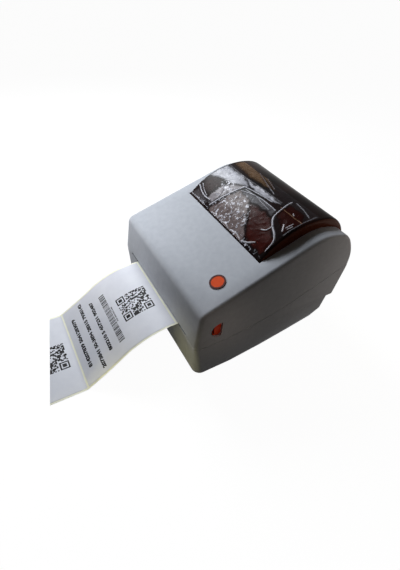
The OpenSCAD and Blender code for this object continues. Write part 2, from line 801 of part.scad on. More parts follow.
module strip_band(half, s0, s1, low, high) {
    intersection() {
        across(half) polygon(concat(strip_side(s0, s1, low), backwards(strip_side(s0, s1, high))));
        translate([-liner_w / 2, -cut_near, -1]) rotate(-cut_slant) translate([-far, 0, 0])
            cube([2 * far, far, far]);
    }
}

module label_liner() color([0.85, 0.84, 0.70]) place() strip_band(liner_w / 2, 0, strip_len, 0, liner_t);

module labels() color([0.93, 0.94, 0.96]) place() {
    low = liner_t + 0.03;
    next = label_size + label_gap;
    strip_band(label_size / 2, max(0, gap_s - label_size - next), gap_s - next, low, liner_t + label_t);
    strip_band(label_size / 2, gap_s - label_size, gap_s, low, liner_t + label_t);
    strip_band(label_size / 2, gap_s + label_gap, strip_len, low, liner_t + label_t);
}

// Lid and what rides on it

module lid_shell() color(grey) place() difference() {
    union() {
        difference() {
            case_solid();
            case_hollow();
            below_seam(seam_gap);
        }
        knuckles([0], knuckle_r, knuckle_l - seam_gap);
    }
    knuckles([-knuckle_l, knuckle_l], knuckle_r + free, knuckle_l + seam_gap);
    knuckles([0], pin_r + run, 4 * knuckle_l);
    translate([-window_half - loose, window_front - loose, window_rear_z - loose])
        cube([2 * (window_half + loose), far, far]);
    translate([-slot_half - loose, -10, 0]) cube([2 * (slot_half + loose), 16, slot_top_z]);
    on_top(button_x, button_y) translate([0, 0, -10]) cylinder(r = bezel_r + run, h = 20);
    both() side(in_half - 1, half_w + 1) finger_outline(0);
}

module window() color([0.06, 0.05, 0.05, 0.85]) place() {
    round_r = 3;
    difference() {
        rounded_across(window_points, window_half, round_r);
        across(window_half - window_t) polygon(inset(window_points, window_t));
        across(far) polygon(inset(case_points, window_seat));
    }
}

module protective_film() color([0.85, 0.87, 0.92, 0.5]) place()
    side(-window_half + film_inset + 2, film_right)
        polygon(concat(window_arc(film_gap, film_start, film_start - film_sweep, 20),
            backwards(window_arc(film_gap + film_t, film_start, film_start - film_sweep, 20))));

module button_bezel() color([0.22, 0.1, 0.09]) place() on_top(button_x, button_y) difference() {
    translate([0, 0, -sleeve_l]) cylinder(r = bezel_r, h = sleeve_l + 0.8);
    translate([0, 0, -sleeve_l - 1]) cylinder(r = button_r + run, h = sleeve_l + 3);
}

module button_board() color(green) place() on_top(button_x, button_y) {
    side = 2 * bezel_r + 2;
    translate([-side / 2, -side / 2, -sleeve_l - board_t]) cube([side, side, board_t]);
    translate([-key_side / 2, -key_side / 2, -sleeve_l - 0.5]) cube([key_side, key_side, key_h + 0.5]);
}

module lid_frame() color(black) place() difference() {
    intersection() {
        union() {
            both() side(frame_x, frame_x + frame_t)
                polygon([[frame_front, bar_z], [frame_front + bar_l, bar_z],
                    [head_y - boss_w, head_pivot_z - boss_low], [head_y + boss_w, head_pivot_z - boss_low],
                    [frame_rear, bar_z], [frame_rear, far], [frame_front, far]]);
            translate([-frame_x - 1, frame_front, bar_z]) cube([2 * frame_x + 2, bar_l, bar_t]);
            translate([-frame_x - 1, frame_rear - beam_l, bar_z + bar_t / 2])
                cube([2 * frame_x + 2, beam_l, beam_h]);
        }
        across(far) polygon(inset(case_points, wall + run));
    }
    bar([latch_y, latch_z], latch_shaft_r + run, -half_w, half_w);
    bar([head_y, head_pivot_z], head_shaft_r, -half_w, half_w);
}

module head_shaft() color(steel) place()
    bar([head_y, head_pivot_z], head_shaft_r, -frame_x - frame_t, frame_x + frame_t);

module head_springs() color(steel) place() both()
    translate([spring_x, platen_y, head_z + strip_heater_t + carrier_t]) difference() {
        cylinder(r = spring_r, h = bar_z - head_z - strip_heater_t - carrier_t);
        translate([0, 0, -1]) cylinder(r = spring_r - spring_t, h = far);
    }

module latch_springs() color(steel) place() both() difference() {
    bar([latch_y, latch_z], latch_shaft_r + return_gap + return_t, frame_x - 0.1 - return_l, frame_x - 0.1);
    bar([latch_y, latch_z], latch_shaft_r + return_gap, frame_x - 1 - return_l, frame_x + 1);
}

module feed_button() color(orange) place() on_top(button_x, button_y) {
    stem_low = -sleeve_l + key_h + button_travel + 0.3;
    translate([0, 0, -cap_drop]) cylinder(r = button_r, h = cap_drop + cap_rise);
    translate([0, 0, stem_low]) cylinder(r = stem_r, h = 1 - stem_low - cap_drop);
}

module latch_tabs() color(orange) place() both() side(lever_x0 + lever_t, tab_x1) intersection() {
    finger_outline(tab_lap);
    translate([tab_front, 0]) square(far);
}

module latch_levers() color([0.16, 0.16, 0.17]) place() both() difference() {
    side(lever_x0, lever_x0 + lever_t) {
        polygon([[latch_y - lever_half, latch_z], [latch_y + lever_half, latch_z],
            [latch_y + 1, finger_z - hook_step], [lever_back, seam_z + hook_step], [lever_back, lever_low],
            [lever_back - hook_w, lever_low], [lever_back - hook_w, seam_z + hook_step],
            [latch_y - lever_nose, finger_z - hook_step]]);
        translate([latch_y, latch_z]) circle(lever_eye_r);
    }
    bar([latch_y, latch_z], latch_shaft_r, lever_x0 - 1, lever_x0 + lever_t + 1);
}

module latch_shaft() color(steel) place()
    bar([latch_y, latch_z], latch_shaft_r, -lever_x0 - lever_t, lever_x0 + lever_t);

module head_carrier() color(steel) place() difference() {
    z0 = head_z + strip_heater_t;
    front = platen_y - carrier_reach;
    bend = platen_y + carrier_reach;
    low = head_pivot_z - carrier_eye - 0.5;
    high = head_pivot_z + carrier_eye + 0.5;
    across(carrier_half) polygon([[front, z0], [bend, z0],
        [head_y - carrier_eye, low], [head_y + carrier_eye, low],
        [head_y + carrier_eye, high], [head_y - carrier_eye, high],
        [bend, z0 + carrier_t], [front, z0 + carrier_t]]);
    bar([head_y, head_pivot_z], head_shaft_r + run, -half_w, half_w);
}

module thermal_strip() color(cream) place()
    translate([-carrier_half + 2, platen_y - carrier_reach + 1, head_z])
        cube([2 * carrier_half - 4, 2 * carrier_reach - 2, strip_heater_t]);

// Platen and gear train

module platen_shaft() color(steel) place()
    bar(platen_c, platen_shaft_r, gear_x2 - gear_w - 0.5, cheek_x + cheek_t + 2);

module platen_roller() color(black) place() difference() {
    bar(platen_c, platen_r, -roller_half, roller_half);
    bar(platen_c, platen_shaft_r, -half_w, half_w);
}

module platen_gear() color(cream) place() difference() {
    gear(platen_c, platen_teeth, idler_dir, gear_x2);
    bar(platen_c, platen_shaft_r, -half_w, 0);
}

module idler_gear() color(cream) place() difference() {
    union() {
        gear(idler_c, large_teeth, motor_dir, gear_x);
        gear(idler_c, small_teeth, idler_dir + 180 + 180 / small_teeth, gear_x2);
        bar(idler_c, pitch(small_teeth) - 2 * gear_m, gear_x2 - gear_w, gear_x);
    }
    bar(idler_c, stud_r + run, -half_w, 0);
}

module motor_pinion() color(cream) place() {
    gear(motor_c, pinion_teeth, motor_dir + 180 + 180 / pinion_teeth, gear_x);
    bar(motor_c, motor_shaft_r, gear_x - gear_w, -cheek_x + motor_l - 9);
}

// Label roll and its holders

module label_roll() color([0.88, 0.88, 0.84]) place() difference() {
    bar(roll_c, roll_r, -liner_w / 2, liner_w / 2);
    bar(roll_c, core_r + core_t, -half_w, half_w);
}

module roll_core() color([0.70, 0.58, 0.42]) place() difference() {
    bar(roll_c, core_r + core_t, -liner_w / 2, liner_w / 2);
    bar(roll_c, core_r, -half_w, half_w);
}

// Holder at the right: hub, flange, arm and the rack behind the centring pinion
module roll_holder() {
    bar(roll_c, core_r - 0.3, holder_x - 8, holder_x + 1);
    bar(roll_c, core_r + core_t + 8, holder_x, holder_x + holder_t);
    translate([holder_x, roll_y - arm_w / 2, rack_z]) cube([holder_t, arm_w, roll_z - rack_z]);
    translate([0, roll_y + pitch(pinion_r_teeth), rack_z]) linear_extrude(rack_h)
        rack_outline(-16, holder_x + holder_t);
}

module roll_holder_right() color([0.2, 0.2, 0.21]) place() roll_holder();

module roll_holder_left() color([0.2, 0.2, 0.21]) place()
    translate([0, roll_y, 0]) rotate(180) translate([0, -roll_y, 0]) roll_holder();

module centring_pinion() color(cream) place() translate([0, roll_y, rack_z]) difference() {
    linear_extrude(rack_h) rotate(90) gear_outline(pinion_r_teeth);
    translate([0, 0, -1]) cylinder(r = stud_r + run, h = rack_h + 2);
}

module power_rocker() color(black) place() {
    half = rocker_body_w / 2;
    bar(rocker_c, rocker_pin_r, rocker_x - half - 1, rocker_x + half + 1);
    translate([rocker_x, rocker_c[0], rocker_c[1]]) rotate([rocker_tilt, 0, 0]) side(-half, half)
        polygon([[-3, -6.5], [1.5, -7], [2.6, 0], [1.5, 7], [-3, 6.5], [-4.5, 0]]);
}

lower_case();
front_panel();
rubber_feet();
case_screws();
hinge_pins();
catch_pins();
tear_bar();
chassis();
platen_bushes();
feed_motor();
idler_stud();
gap_sensor();
media_tray();
main_board();
socket_board();
usb_socket();
power_jack();
switch_body();
label_liner();
labels();
lid_shell();
window();
protective_film();
button_bezel();
button_board();
lid_frame();
head_shaft();
head_springs();
latch_springs();
feed_button();
latch_tabs();
latch_levers();
latch_shaft();
head_carrier();
thermal_strip();
platen_shaft();
platen_roller();
platen_gear();
idler_gear();
motor_pinion();
label_roll();
roll_core();
roll_holder_left();
roll_holder_right();
centring_pinion();
power_rocker();
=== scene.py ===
import math
import random
import bpy
from mathutils import Matrix, Vector, noise


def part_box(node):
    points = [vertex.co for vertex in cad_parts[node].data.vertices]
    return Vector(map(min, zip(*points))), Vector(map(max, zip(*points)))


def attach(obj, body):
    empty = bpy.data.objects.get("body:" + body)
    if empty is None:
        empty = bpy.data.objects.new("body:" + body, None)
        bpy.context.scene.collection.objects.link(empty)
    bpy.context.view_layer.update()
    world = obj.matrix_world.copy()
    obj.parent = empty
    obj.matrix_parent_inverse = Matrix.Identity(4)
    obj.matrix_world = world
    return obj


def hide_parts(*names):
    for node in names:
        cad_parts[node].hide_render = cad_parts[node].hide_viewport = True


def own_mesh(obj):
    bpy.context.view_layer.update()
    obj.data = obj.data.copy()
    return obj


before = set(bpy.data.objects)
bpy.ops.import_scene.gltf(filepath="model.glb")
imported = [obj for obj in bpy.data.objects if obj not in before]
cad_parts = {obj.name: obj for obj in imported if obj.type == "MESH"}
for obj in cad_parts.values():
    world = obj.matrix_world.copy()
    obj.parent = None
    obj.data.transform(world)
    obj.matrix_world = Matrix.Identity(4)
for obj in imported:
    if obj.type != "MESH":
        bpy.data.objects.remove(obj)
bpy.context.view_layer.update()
scene = bpy.context.scene
scene.view_settings.view_transform = "Standard"

# Lengths are written in millimetres, with Y from the front of the case
MM = 0.001
FRAME_Y = 34.2311


def at(x, y, z):
    """A point of the printer, in metres in the shared frame."""
    return Vector((x, y - FRAME_Y, z)) * MM


def linear(*srgb):
    """A colour given as 0 to 255 on a screen, for a shader socket."""
    parts = [v / 255 for v in srgb]
    return [v / 12.92 if v <= 0.04045 else ((v + 0.055) / 1.055) ** 2.4 for v in parts] + [1]


# Camera at the photograph's angle, with its focal length and centre in pixels of the picture
AZIMUTH = math.radians(53.04)
ELEVATION = math.radians(38.36)
ROLL = math.radians(8.018)
DISTANCE = 437.31
TARGET = (0, 90, 60)
FOCAL = 373.59
CENTRE = (226.997, 259.480)
PICTURE = (400, 570)


def make_camera():
    """Camera that looks at the target, rolled and shifted as the photograph is."""
    back = Vector((math.sin(AZIMUTH) * math.cos(ELEVATION), -math.cos(AZIMUTH) * math.cos(ELEVATION),
                   math.sin(ELEVATION)))
    level = Vector((math.cos(AZIMUTH), math.sin(AZIMUTH), 0))
    upright = back.cross(level)
    right = math.cos(ROLL) * level + math.sin(ROLL) * upright
    up = math.cos(ROLL) * upright - math.sin(ROLL) * level
    data = bpy.data.cameras.new("camera")
    data.sensor_width = 36
    data.lens = data.sensor_width * FOCAL / PICTURE[1]
    data.shift_x = (PICTURE[0] / 2 - CENTRE[0]) / PICTURE[1]
    data.shift_y = (CENTRE[1] - PICTURE[1] / 2) / PICTURE[1]
    data.clip_start = 0.01
    camera = bpy.data.objects.new("camera", data)
    turn = Matrix((right, up, back)).transposed().to_4x4()
    camera.matrix_world = Matrix.Translation(at(*TARGET) + back * DISTANCE * MM) @ turn
    scene.collection.objects.link(camera)
    scene.camera = camera


# Node helpers

def new_material(name):
    """A material with its node tree and its main shader."""
    material = bpy.data.materials.new(name)
    material.use_nodes = True
    return material, material.node_tree, material.node_tree.nodes["Principled BSDF"]


def node(tree, kind, inputs=None, **settings):
    """A new node with its settings, its sockets set to values or linked to other sockets."""
    made = tree.nodes.new(kind)
    for key, value in settings.items():
        setattr(made, key, value)
    for key, value in (inputs or {}).items():
        if isinstance(value, bpy.types.NodeSocket):
            tree.links.new(value, made.inputs[key])
        else:
            made.inputs[key].default_value = value
    return made


def place(tree):
    """Where a point lies on its piece."""
    return node(tree, "ShaderNodeTexCoord").outputs["Object"]


def grain(tree, scale, detail=3.0, stretch=None):
    """Noise in the material, finer with a larger scale."""
    where = place(tree)
    if stretch:
        where = node(tree, "ShaderNodeMapping", {"Vector": where, "Scale": stretch}).outputs["Vector"]
    made = node(tree, "ShaderNodeTexNoise", {"Vector": where, "Scale": scale, "Detail": detail})
    return made.outputs["Fac"]


def attribute(tree, name):
    """A value that the mesh holds at its points."""
    return node(tree, "ShaderNodeAttribute", attribute_name=name).outputs["Fac"]


def maths(tree, operation, *values, clamp=False):
    """The result of one operation on numbers or sockets."""
    made = node(tree, "ShaderNodeMath", dict(enumerate(values)), operation=operation, use_clamp=clamp)
    return made.outputs["Value"]


def remap(tree, value, start, end, low=0.0, high=1.0):
    """A value carried over from the range start to end to the range low to high."""
    made = node(tree, "ShaderNodeMapRange", {"Value": value, "From Min": start, "From Max": end,
                                             "To Min": low, "To Max": high})
    return made.outputs["Result"]


def ramp(tree, factor, *stops):
    """Colours along a factor, each stop being a place and a colour."""
    made = node(tree, "ShaderNodeValToRGB", {"Fac": factor})
    elements = made.color_ramp.elements
    while len(elements) < len(stops):
        elements.new(0.5)
    for element, (position, colour) in zip(elements, stops):
        element.position = position
        element.color = colour
    return made.outputs["Color"]


def bump(tree, height, strength, distance):
    """A normal that follows a height, its distance in metres."""
    made = node(tree, "ShaderNodeBump", {"Height": height, "Strength": strength, "Distance": distance})
    return made.outputs["Normal"]


def surface(name, dark, light, rough, scale, relief=0.0, stretch=None, metal=0.0, **sockets):
    """A material that varies between two colours, with a fine relief."""
    material, tree, shader = new_material(name)
    broad = grain(tree, scale, 4.0, stretch)
    tree.links.new(ramp(tree, broad, (0.3, dark), (0.7, light)), shader.inputs["Base Color"])
    tree.links.new(remap(tree, broad, 0.0, 1.0, *rough), shader.inputs["Roughness"])
    if relief:
        fine = grain(tree, scale * 8, 2.0, stretch)
        tree.links.new(bump(tree, fine, relief, 0.0002), shader.inputs["Normal"])
    shader.inputs["Metallic"].default_value = metal
    for key, value in sockets.items():
        shader.inputs[key.replace("_", " ")].default_value = value
    return material


# Materials
BRUSHED_X = (1, 14, 14)
BRUSHED_Y = (14, 1, 14)
CASE = surface("case_grey", linear(176, 181, 191), linear(184, 189, 198), (0.48, 0.56), 180, 0.10,
               Specular_IOR_Level=0.08)
ORANGE = surface("orange_plastic", linear(216, 72, 18), linear(224, 82, 26), (0.46, 0.54), 260, 0.06,
                 Specular_IOR_Level=0.06)
# Painted glow: the latch tabs get a lighter, redder orange than the button, standing for light on them in
# their shaded recesses
PAINTED_GLOW_TAB = surface("orange_tab_painted_glow", linear(250, 74, 32), linear(255, 84, 40), (0.46, 0.54), 260, 0.06,
              Specular_IOR_Level=0.2)
# Painted shade: the ring round the feed button is coloured dark maroon to stand for the shade in the gap
# round the button
PAINTED_SHADE_BEZEL = surface("bezel_dark", linear(70, 26, 22), linear(84, 34, 29), (0.45, 0.55), 300, 0.06,
                Specular_IOR_Level=0.1)
BLACK = surface("black_plastic", linear(26, 26, 28), linear(36, 36, 38), (0.42, 0.52), 240, 0.10)
RUBBER = surface("rubber", linear(22, 22, 23), linear(34, 33, 33), (0.70, 0.85), 500, 0.15)
STEEL = surface("steel", linear(168, 170, 173), linear(196, 198, 200), (0.24, 0.36), 90, 0.04,
                BRUSHED_X, 1.0)
ALUMINIUM = surface("aluminium", linear(196, 198, 200), linear(214, 215, 217), (0.30, 0.42), 120, 0.04,
                    BRUSHED_Y, 1.0)
DARK_STEEL = surface("steel_dark", linear(34, 34, 37), linear(48, 48, 52), (0.40, 0.52), 90, 0.04,
                     BRUSHED_X, Specular_IOR_Level=0.2)
BRASS = surface("brass", linear(186, 148, 84), linear(206, 170, 104), (0.24, 0.38), 200, 0.03, None, 1.0)
WHITE = surface("white_plastic", linear(226, 222, 208), linear(236, 233, 222), (0.35, 0.45), 220, 0.05)
CERAMIC = surface("ceramic", linear(206, 196, 172), linear(222, 214, 194), (0.18, 0.26), 400, 0.03)
CARDBOARD = surface("cardboard", linear(150, 116, 80), linear(178, 144, 104), (0.80, 0.92), 140, 0.20)
PAPER = surface("label_paper", linear(208, 211, 222), linear(215, 218, 228), (0.50, 0.58), 90, 0.02)
LINER = surface("liner_paper", linear(236, 237, 216), linear(243, 244, 225), (0.40, 0.50), 120, 0.03)
INK = surface("ink_black", linear(8, 7, 12), linear(22, 20, 28), (0.50, 0.60), 900, Specular_IOR_Level=0.2)


def board_material():
    """Solder resist with copper tracks under it."""
    material, tree, shader = new_material("board_green")
    cells = node(tree, "ShaderNodeTexVoronoi", {"Vector": place(tree), "Scale": 240.0},
                 distance="CHEBYCHEV", feature="DISTANCE_TO_EDGE").outputs["Distance"]
    tracks = ramp(tree, cells, (0.06, linear(46, 120, 66)), (0.12, linear(20, 74, 40)))
    tree.links.new(tracks, shader.inputs["Base Color"])
    tree.links.new(bump(tree, cells, 0.1, 0.0001), shader.inputs["Normal"])
    shader.inputs["Roughness"].default_value = 0.35
    return material


def window_material():
    """Smoked plastic, with painted light on its cut ends, which are coloured a lighter red-brown."""
    material, tree, shader = new_material("window_smoke")
    cloud = grain(tree, 26, 3.0)
    face = ramp(tree, cloud, (0.35, linear(11, 7, 7)), (0.7, linear(40, 24, 22)))
    side = node(tree, "ShaderNodeSeparateXYZ", {0: node(tree, "ShaderNodeTexCoord").outputs["Normal"]})
    # Painted light: the cut ends get a lighter red-brown than the face, standing for light seen through the
    # plastic at its edges
    ends = remap(tree, maths(tree, "ABSOLUTE", side.outputs["X"]), 0.5, 0.8)
    mix = node(tree, "ShaderNodeMix", {"Factor": ends, 6: face, 7: linear(88, 44, 28)}, data_type="RGBA")
    tree.links.new(mix.outputs[2], shader.inputs["Base Color"])
    dust = grain(tree, 900, 2.0)
    tree.links.new(remap(tree, dust, 0.0, 1.0, 0.14, 0.22), shader.inputs["Roughness"])
    shader.inputs["Specular IOR Level"].default_value = 0.03
    return material


def film_material():
    """Clear film, milky where it lies loose, pale with painted reflection and with painted glints along its
    creases, and flecked with trapped air.
    """
    material, tree, shader = new_material("film_clear")
    milk_and_painted_reflection = attribute(tree, "milk_and_painted_reflection")
    flecks = attribute(tree, "flecks")
    warmth = attribute(tree, "warmth")
    cloud = remap(tree, grain(tree, 160, 4.0), 0.3, 0.7, 0.82, 1.08)
    # Milkiness and painted reflection: the pale patches partly stand for reflections of the surroundings on
    # the film
    haze_and_reflection = maths(tree, "MULTIPLY", milk_and_painted_reflection, cloud)
    air = remap(tree, grain(tree, 330, 3.0), 0.57, 0.66)
    winding = maths(tree, "COMPARE", grain(tree, 150, 1.0), 0.5, 0.02)
    broken = remap(tree, grain(tree, 260, 1.0), 0.48, 0.56)
    wisps = maths(tree, "MULTIPLY", winding, broken)
    trapped = maths(tree, "MAXIMUM", air, wisps)
    spots = maths(tree, "MULTIPLY", trapped, flecks)
    cover = maths(tree, "MAXIMUM", haze_and_reflection, spots)
    gloss = node(tree, "ShaderNodeFresnel", {"IOR": 1.45}).outputs["Fac"]
    sheen = maths(tree, "MULTIPLY", gloss, 0.15)
    whole = maths(tree, "ADD", cover, sheen, clamp=True)
    bare = maths(tree, "SUBTRACT", warmth, spots, clamp=True)
    tint = ramp(tree, bare, (0.0, linear(226, 228, 242)), (0.5, linear(176, 158, 158)),
                (0.72, linear(150, 46, 30)), (1.0, linear(168, 132, 98)))
    tree.links.new(tint, shader.inputs["Base Color"])
    shader.inputs["Roughness"].default_value = 0.32
    shader.inputs["Specular IOR Level"].default_value = 0.35
    clear = node(tree, "ShaderNodeBsdfTransparent")
    mix = node(tree, "ShaderNodeMixShader", {"Fac": whole, 1: clear.outputs["BSDF"],
                                             2: shader.outputs["BSDF"]})
    tree.links.new(mix.outputs["Shader"], tree.nodes["Material Output"].inputs["Surface"])
    return material


def roll_material():
    """Wound layers, seen as rings on the ends of the roll."""
    material, tree, shader = new_material("label_roll")
    rings = 14000.0
    low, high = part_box("label_roll")
    middle = (low + high) / 2
    shift = node(tree, "ShaderNodeMapping", {"Vector": place(tree), "Location": (0, -middle.y, -middle.z),
                                             "Scale": (0, 1, 1)})
    far = node(tree, "ShaderNodeVectorMath", {0: shift.outputs["Vector"]}, operation="LENGTH")
    wave = maths(tree, "SINE", maths(tree, "MULTIPLY", far.outputs["Value"], rings))
    tree.links.new(ramp(tree, wave, (0.1, linear(206, 205, 190)), (0.9, linear(232, 232, 228))),
                   shader.inputs["Base Color"])
    tree.links.new(bump(tree, wave, 0.2, 0.0001), shader.inputs["Normal"])
    shader.inputs["Roughness"].default_value = 0.6
    return material


BOARD = board_material()
SMOKE = window_material()
FILM = film_material()
ROLL_PAPER = roll_material()

FINISH = {
    CASE: ["lower_case", "front_panel", "lid_shell"],
    SMOKE: ["window"],
    ORANGE: ["feed_button"],
    PAINTED_GLOW_TAB: ["latch_tabs"],
    PAINTED_SHADE_BEZEL: ["button_bezel"],
    BLACK: ["chassis", "gap_sensor", "media_tray", "power_jack", "switch_body", "lid_frame", "latch_levers",
            "roll_holder_left", "roll_holder_right", "power_rocker"],
    RUBBER: ["rubber_feet", "platen_roller"],
    STEEL: ["case_screws", "hinge_pins", "catch_pins", "idler_stud", "usb_socket", "head_shaft",
            "latch_shaft", "platen_shaft", "feed_motor"],
    ALUMINIUM: ["head_carrier"],
    DARK_STEEL: ["tear_bar"],
    BRASS: ["platen_bushes"],
    WHITE: ["platen_gear", "idler_gear", "motor_pinion", "centring_pinion"],
    CERAMIC: ["thermal_strip"],
    BOARD: ["main_board", "socket_board", "button_board"],
    CARDBOARD: ["roll_core"],
    ROLL_PAPER: ["label_roll"],
}


# Making and dressing of pieces
WELD_GAP = 0.002
SOLID_EDGE = 32
PAPER_EDGE = 40


def sharp_edges(piece, degrees):
    """Shading that breaks at the edges that turn by more than an angle."""
    edges = piece.modifiers.new("edges", "EDGE_SPLIT")
    edges.split_angle = math.radians(degrees)


def dress_nodes():
    """Finishes and smooth shading on the carried-over solids."""
    for material, names in FINISH.items():
        for name in names:
            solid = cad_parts[name]
            solid.data.materials.clear()
            solid.data.materials.append(material)
            solid.data.shade_smooth()
            if "custom_normal" in solid.data.attributes:
                solid.data.attributes.remove(solid.data.attributes["custom_normal"])
            weld = solid.modifiers.new("weld", "WELD")
            weld.merge_threshold = WELD_GAP * MM
            sharp_edges(solid, SOLID_EDGE)


def mesh_piece(name, points, faces, material, body, slot):
    """A new smooth piece made of points and faces, riding on a body."""
    mesh = bpy.data.meshes.new(name)
    mesh.from_pydata(points, [], faces)
    mesh.validate()
    mesh.materials.append(material)
    mesh.shade_smooth()
    piece = bpy.data.objects.new(name, mesh)
    scene.collection.objects.link(piece)
    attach(piece, body)
    return piece


def join(parts):
    """Several lists of points and faces as one."""
    points, faces = [], []
    for more_points, more_faces in parts:
        start = len(points)
        points += more_points
        faces += [tuple(start + k for k in face) for face in more_faces]
    return points, faces


def grid_faces(rows, columns):
    """Faces between the points of a flat grid."""
    wide = columns + 1
    corners = [i * wide + j for i in range(rows) for j in range(columns)]
    return [(a, a + 1, a + wide + 1, a + wide) for a in corners]


def tube_faces(rings, around):
    """Faces between closed rings of points."""
    return [(i * around + k, i * around + (k + 1) % around, (i + 1) * around + (k + 1) % around,
             (i + 1) * around + k) for i in range(rings) for k in range(around)]


# Strip of labels, from the roll over the platen and out through the slot
PLATEN = Vector((16, 38.7))
ROLL_AXIS = Vector((126, 74))
WEB_R = 8.3
ROLL_WEB_R = 48.65
SLOT_Z = 47.0
FALL = math.radians(40)
LAND = math.radians(33)
SAG_R = 350
LAND_R = 8
FLAT_L = 60
LINER_W = 106
LINER_T = 0.2
LABEL_W = 102
LABEL_T = 0.15
LABEL_LIFT = 0.03
GAP = 2
CUT_NEAR = 103.6
CUT_SLANT = math.tan(math.radians(11.9))
STRIP_COLUMNS = 8
STRIP_STEP = 0.8
reach = ROLL_AXIS - PLATEN
WEB_ANGLE = math.asin((WEB_R + ROLL_WEB_R) / reach.length) - math.atan2(reach.y, reach.x)
WEB_UP = Vector((math.sin(WEB_ANGLE), math.cos(WEB_ANGLE)))
WEB_START = ROLL_AXIS - ROLL_WEB_R * WEB_UP
WEB_LEN = (PLATEN + WEB_R * WEB_UP - WEB_START).length
DROP_R = ((SLOT_Z - SAG_R * (math.cos(LAND) - math.cos(FALL)) - LAND_R * (1 - math.cos(LAND)))
          / (1 - math.cos(FALL)))
# Runs of the strip: length, fall at the start and fall at the end
RUNS = [
    (WEB_LEN, -WEB_ANGLE, -WEB_ANGLE),
    (WEB_R * WEB_ANGLE, -WEB_ANGLE, 0),
    (PLATEN.x, 0, 0),
    (DROP_R * FALL, 0, FALL),
    (SAG_R * (FALL - LAND), FALL, LAND),
    (LAND_R * LAND, LAND, 0),
    (FLAT_L, 0, 0),
]
SLOT_S = sum(run[0] for run in RUNS[:3])
GAP_S = sum(run[0] for run in RUNS[:5])
FLAT_S = sum(run[0] for run in RUNS[:6])


def along_run(run, s):
    """The step from a run's start to s along it, and the fall there."""
    length, start, end = run
    turn = end - start
    if turn == 0:
        return -s * Vector((math.cos(start), math.sin(start))), start
    angle = start + turn * s / length
    bend = length / turn
    return bend * Vector((math.sin(start) - math.sin(angle), math.cos(angle) - math.cos(start))), angle


def on_strip(x, s, lift):
    """The point of the strip at s from its start, lift above the liner's underside."""
    point = WEB_START.copy()
    for number, run in enumerate(RUNS):
        if s <= run[0] or number == len(RUNS) - 1:
            step, angle = along_run(run, s)
            break
        point += along_run(run, run[0])[0]
        s -= run[0]
    point += step + lift * Vector((-math.sin(angle), math.cos(angle)))
    return at(x, point.x, point.y)


FLAT_Y = -(on_strip(0, FLAT_S, 0).y / MM + FRAME_Y)


def cut_s(x):
    """Where the slanted end cuts the strip, at x across it."""
    return FLAT_S + CUT_NEAR + (x + LINER_W / 2) * CUT_SLANT - FLAT_Y


def band(half, s0, s1, low, high):
    """Points and faces of a thin sheet lying along the strip; s1 is None at the slanted end."""
    columns = STRIP_COLUMNS
    end = cut_s(half) if s1 is None else s1
    rows = max(2, math.ceil((end - s0) / STRIP_STEP))
    points = []
    for lift in (low, high):
        for i in range(rows + 1):
            for j in range(columns + 1):
                x = half * (2 * j / columns - 1)
                stop = cut_s(x) if s1 is None else s1
                points.append(on_strip(x, s0 + (stop - s0) * i / rows, lift))
    layer = (rows + 1) * (columns + 1)
    faces = []
    for quad in grid_faces(rows, columns):
        faces.append(tuple(layer + k for k in quad))
        faces.append(tuple(reversed(quad)))
    rim = list(range(columns))
    rim += [i * (columns + 1) + columns for i in range(rows)]
    rim += [rows * (columns + 1) + j for j in range(columns, 0, -1)]
    rim += [i * (columns + 1) for i in range(rows, 0, -1)]
    for k, a in enumerate(rim):
        b = rim[(k + 1) % len(rim)]
        faces.append((a, b, layer + b, layer + a))
    return points, faces


def make_strip():
    """The liner and the labels on it: one inside, one that hangs from the slot and one at the cut end."""
    liner = mesh_piece("liner_strip", *band(LINER_W / 2, 0, None, 0, LINER_T), LINER, "base", "liner_paper")
    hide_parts("label_liner")
    sharp_edges(liner, PAPER_EDGE)
    low = LINER_T + LABEL_LIFT
    high = low + LABEL_T
    pitch = LABEL_W + GAP
    spans = [(max(0, GAP_S - LABEL_W - pitch), GAP_S - pitch), (GAP_S - LABEL_W, GAP_S),
             (GAP_S + GAP, None)]
    bands = [band(LABEL_W / 2, start, end, low, high) for start, end in spans]
    stickers = mesh_piece("label_stickers", *join(bands), PAPER, "base", "label_paper")
    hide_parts("labels")
    sharp_edges(stickers, PAPER_EDGE)


# Generic print on the labels: a random square code, a bar code and rows of digits
INK_LIFT = LINER_T + LABEL_LIFT + LABEL_T + 0.02
INK_SPREAD = 0.06
INK_STEP = 1.5
INK_MARGIN = 0.2
CODE_CELLS = 25
CODE_SIZE = 33
CODE_LEFT = -12.5
CODE_NEAR = 9.0
NEXT_CODE_NEAR = 7.6
FINDER = 7
BAR_LEFT = -32.0
BAR_RIGHT = 36.5
BAR_L = 6.8
BAR_NEAR = 50.2
BAR_WIDTHS = (0.6, 0.8, 1.1, 1.5)
BAR_GAPS = (0.5, 0.7, 1.1)
DIGIT_SCALE = 1.4
DIGIT_BOLD = 0.085
# Rows of digits: text, distance from the slot, height, left end and right end
DIGIT_ROWS = [
    ("0123 4578 9012 3450", 48.2, 1.2, -9, 13),
    ("803210 5 457231 902487", 66.3, 3.7, -36, 35),
    ("2073841 50-3894 28315 7930142", 79.4, 3.7, -46, 46),
    ("814207839 5041283079", 92.4, 3.7, -34, 34),
]


def is_finder(i, j):
    """Dark, light or no part of the square marks in three corners of the code."""
    last = CODE_CELLS - FINDER
    for a, b in ((0, last), (last, 0), (last, last)):
        u, v = i - a, j - b
        if -1 <= u <= FINDER and -1 <= v <= FINDER:
            ring = max(abs(u - FINDER // 2), abs(v - FINDER // 2))
            return ring != 2 and ring != 4
    return None


